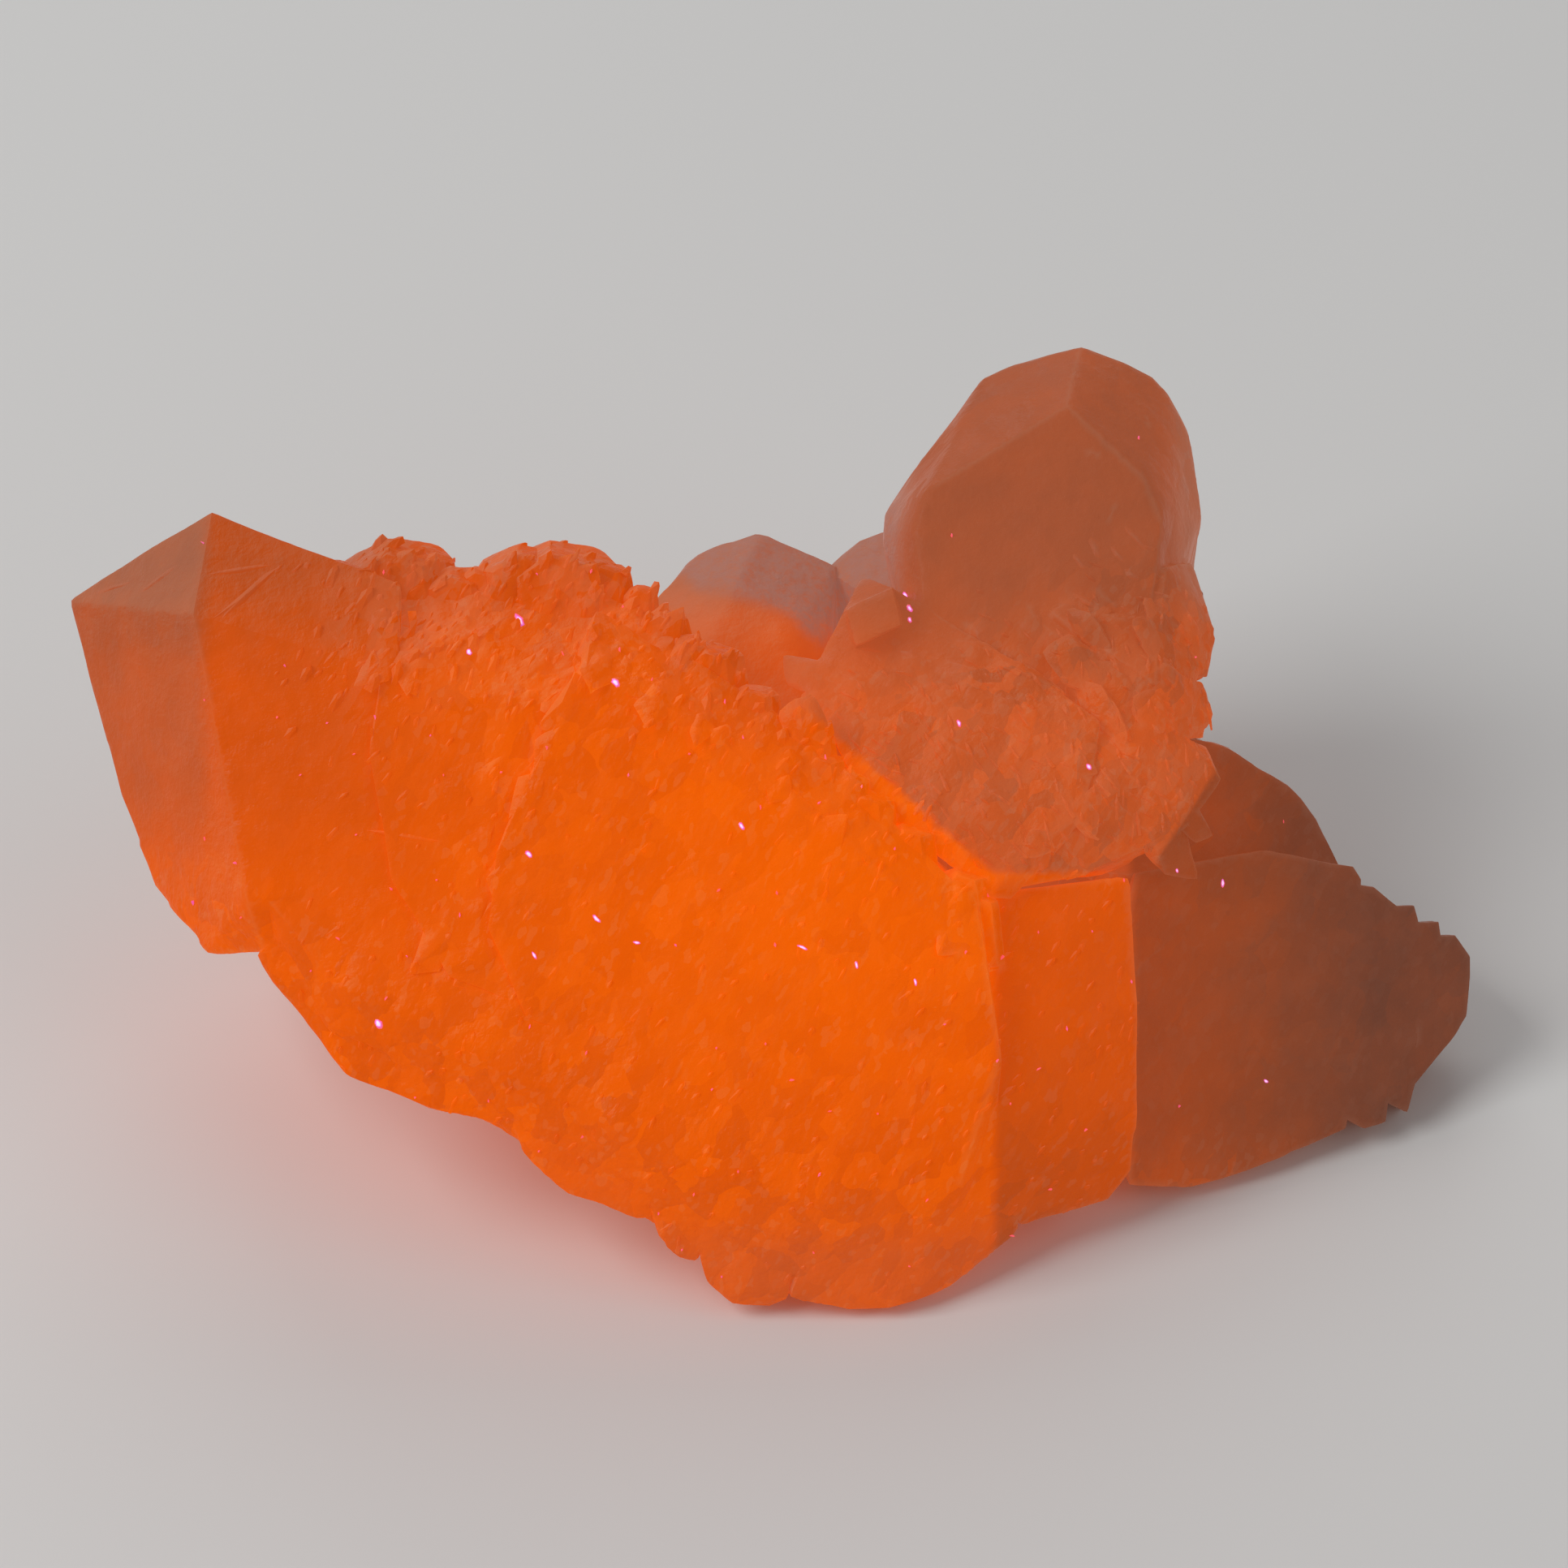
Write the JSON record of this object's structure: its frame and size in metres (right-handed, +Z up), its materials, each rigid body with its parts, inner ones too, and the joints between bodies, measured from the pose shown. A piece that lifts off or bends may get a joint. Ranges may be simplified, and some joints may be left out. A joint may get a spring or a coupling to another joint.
{
  "type": "calcite cluster",
  "caption": "Cluster of blunt calcite crystals grown together: a long bank with a serrated ridge and flaky faces, a stout crystal behind it and a low one at its end, on a flat broken root.",
  "frame": {"origin": "in the flat broken face under the root, on which the cluster rests, near the middle of the cluster", "axes": "+X along the bank of crystals towards its low right-hand end, +Y away from the viewer of the showing side, +Z up"},
  "size_m": [0.0906, 0.0562, 0.0402],
  "materials": {
    "calcite": "milky translucent calcite, closed to the view, that glows orange under ultraviolet light; satin to glossy natural faces"
  },
  "bodies": {
    "root": {"calcite_cluster": "calcite"}
  },
  "joints": []
}
